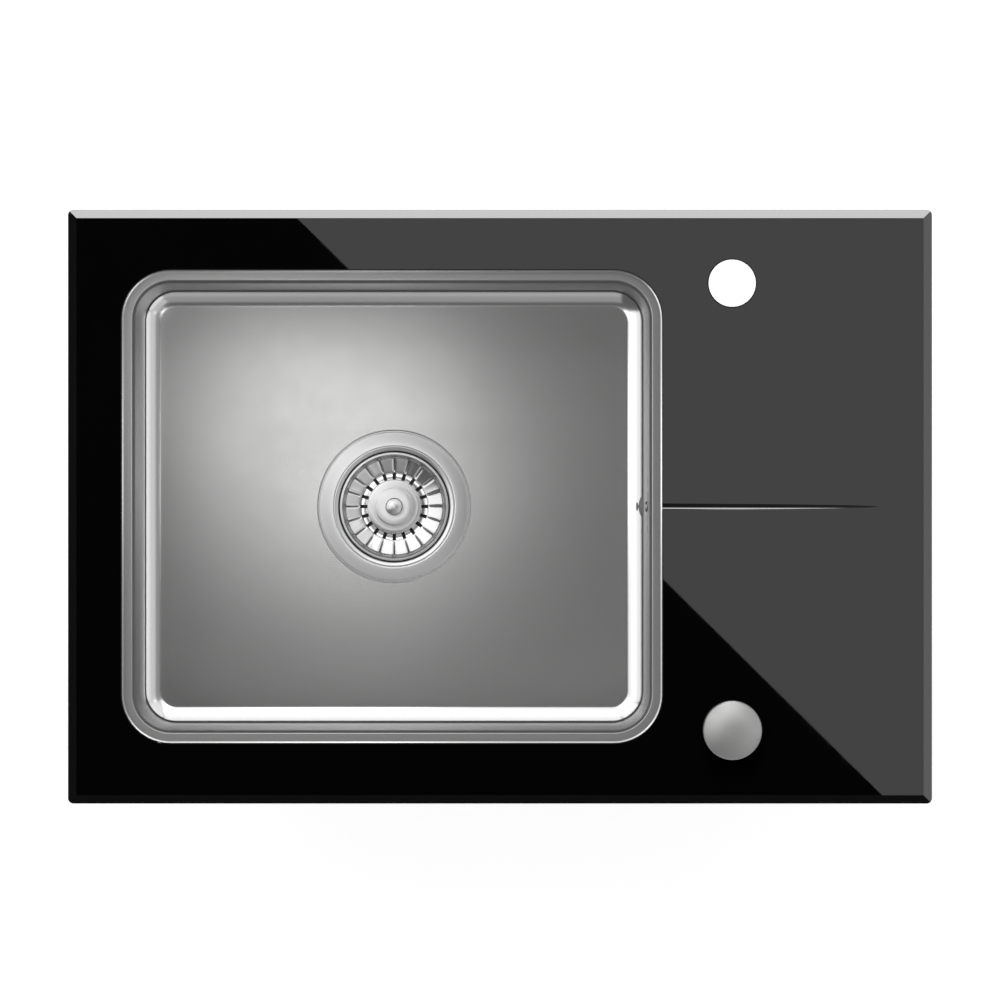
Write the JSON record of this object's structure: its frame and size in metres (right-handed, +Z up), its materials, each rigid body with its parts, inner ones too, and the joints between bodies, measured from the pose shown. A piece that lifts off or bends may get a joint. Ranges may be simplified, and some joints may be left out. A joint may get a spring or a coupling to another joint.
{
  "type": "inset kitchen sink",
  "caption": "Inset kitchen sink with a black tempered glass deck, an undermounted steel bowl, a basket strainer opened by a steel knob, an overflow and worktop clamps.",
  "frame": {"origin": "middle of the glass at the top of the worktop, where the seal rests", "axes": "+X to the right along the deck, +Y to the rear, +Z up"},
  "size_m": [0.64, 0.44, 0.287],
  "materials": {
    "glass": "black tempered glass, polished, with a ground bevel and arrises",
    "bowl_steel": "satin steel, fine brushing",
    "strainer_steel": "polished steel sheet",
    "knob_steel": "satin steel, turned",
    "zinc": "zinc plated",
    "screw_zinc": "bright zinc plated",
    "seal_foam": "closed cell foam strip",
    "black_rubber": "moulded rubber",
    "black_bond": "cured silicone",
    "pad": "bitumen sound pad",
    "white_plastic": "moulded polypropylene",
    "grey_plastic": "blow moulded ribbed pipe",
    "dark_plastic": "moulded plastic, fine grain",
    "acetal": "moulded acetal",
    "sheath": "plastic covered cable sheath"
  },
  "bodies": {
    "root": {"glass_top": "glass", "bowl": "bowl_steel", "strainer_cup": "strainer_steel", "hollow_screw": "strainer_steel", "overflow_screw": "strainer_steel", "fixing_rails": "zinc", "clip_brackets": "zinc", "cable_ferrule": "zinc", "cable_core": "zinc", "worktop_seal": "seal_foam", "strainer_gasket": "black_rubber", "waste_gasket": "black_rubber", "lever_seal": "black_rubber", "knob_gasket": "black_rubber", "knob_washer": "black_rubber", "overflow_gasket": "black_rubber", "bowl_bond": "black_bond", "rail_adhesive": "black_bond", "sound_pad": "pad", "waste_body": "white_plastic", "outlet_tail": "white_plastic", "overflow_hose": "grey_plastic", "lever_cover": "dark_plastic", "knob_housing": "dark_plastic", "knob_backnut": "dark_plastic", "knob_end_cap": "dark_plastic", "overflow_head": "dark_plastic", "hose_collars": "dark_plastic", "cable_sheath": "sheath"},
    "knob": {"control_knob": "knob_steel", "knob_spindle": "acetal"},
    "slider": {"cable_slider": "acetal"},
    "wire": {"wire_clevis": "zinc"},
    "lever": {"lift_lever": "acetal"},
    "pin": {"lift_pin": "acetal"},
    "strainer": {"basket": "strainer_steel", "basket_knob": "strainer_steel", "stopper_plate": "dark_plastic", "stopper_seal": "black_rubber"},
    "screw_1": {"clip_screw_1": "screw_zinc"},
    "claw_1": {"clip_claw_1": "zinc"},
    "screw_2": {"clip_screw_2": "screw_zinc"},
    "claw_2": {"clip_claw_2": "zinc"},
    "screw_3": {"clip_screw_3": "screw_zinc"},
    "claw_3": {"clip_claw_3": "zinc"},
    "screw_4": {"clip_screw_4": "screw_zinc"},
    "claw_4": {"clip_claw_4": "zinc"},
    "screw_5": {"clip_screw_5": "screw_zinc"},
    "claw_5": {"clip_claw_5": "zinc"},
    "screw_6": {"clip_screw_6": "screw_zinc"},
    "claw_6": {"clip_claw_6": "zinc"}
  },
  "joints": [
    {"name": "knob_turn", "type": "hinge", "parent": "root", "child": "knob", "pos_m": [0.172, -0.1655, 0.03], "axis": [0, 0, 1], "range_deg": [0, 90]},
    {"name": "cable_pull", "type": "slide", "parent": "root", "child": "slider", "axis": [0, 0, 1], "range_m": [0, 0.01139]},
    {"name": "wire_pull", "type": "slide", "parent": "root", "child": "wire", "axis": [1, 0, 0], "range_m": [0, 0.01139]},
    {"name": "lever_swing", "type": "hinge", "parent": "root", "child": "lever", "pos_m": [-0.0685, -0.02, -0.2221], "axis": [0, 1, 0], "range_deg": [0, 48]},
    {"name": "pin_lift", "type": "slide", "parent": "root", "child": "pin", "axis": [0, 0, 1], "range_m": [0, 0.00971]},
    {"name": "basket_lift_out", "type": "slide", "parent": "pin", "child": "strainer", "axis": [0, 0, 1], "range_m": [0, 0.22]},
    {"name": "screw_1_travel", "type": "slide", "parent": "root", "child": "screw_1", "axis": [0, 0, 1], "range_m": [0, 0.02]},
    {"name": "claw_1_swing", "type": "hinge", "parent": "screw_1", "child": "claw_1", "pos_m": [0.2, 0.2035, -0.071], "axis": [0, 0, 1], "range_deg": [0, 90]},
    {"name": "screw_2_travel", "type": "slide", "parent": "root", "child": "screw_2", "axis": [0, 0, 1], "range_m": [0, 0.02]},
    {"name": "claw_2_swing", "type": "hinge", "parent": "screw_2", "child": "claw_2", "pos_m": [-0.2, 0.2035, -0.071], "axis": [0, 0, 1], "range_deg": [0, 90]},
    {"name": "screw_3_travel", "type": "slide", "parent": "root", "child": "screw_3", "axis": [0, 0, 1], "range_m": [0, 0.02]},
    {"name": "claw_3_swing", "type": "hinge", "parent": "screw_3", "child": "claw_3", "pos_m": [-0.3035, 0, -0.071], "axis": [0, 0, 1], "range_deg": [0, 90]},
    {"name": "screw_4_travel", "type": "slide", "parent": "root", "child": "screw_4", "axis": [0, 0, 1], "range_m": [0, 0.02]},
    {"name": "claw_4_swing", "type": "hinge", "parent": "screw_4", "child": "claw_4", "pos_m": [-0.2, -0.2035, -0.071], "axis": [0, 0, 1], "range_deg": [0, 90]},
    {"name": "screw_5_travel", "type": "slide", "parent": "root", "child": "screw_5", "axis": [0, 0, 1], "range_m": [0, 0.02]},
    {"name": "claw_5_swing", "type": "hinge", "parent": "screw_5", "child": "claw_5", "pos_m": [0.2, -0.2035, -0.071], "axis": [0, 0, 1], "range_deg": [0, 90]},
    {"name": "screw_6_travel", "type": "slide", "parent": "root", "child": "screw_6", "axis": [0, 0, 1], "range_m": [0, 0.02]},
    {"name": "claw_6_swing", "type": "hinge", "parent": "screw_6", "child": "claw_6", "pos_m": [0.3035, 0, -0.071], "axis": [0, 0, 1], "range_deg": [0, 90]}
  ],
  "couplings": [
    {"joint": "cable_pull", "follows": "knob_turn", "m_per_rad": 0.0072447},
    {"joint": "wire_pull", "follows": "knob_turn", "m_per_rad": 0.0072447},
    {"joint": "lever_swing", "follows": "knob_turn", "ratio": 0.53289},
    {"joint": "pin_lift", "follows": "knob_turn", "m_per_rad": 0.0061752}
  ]
}
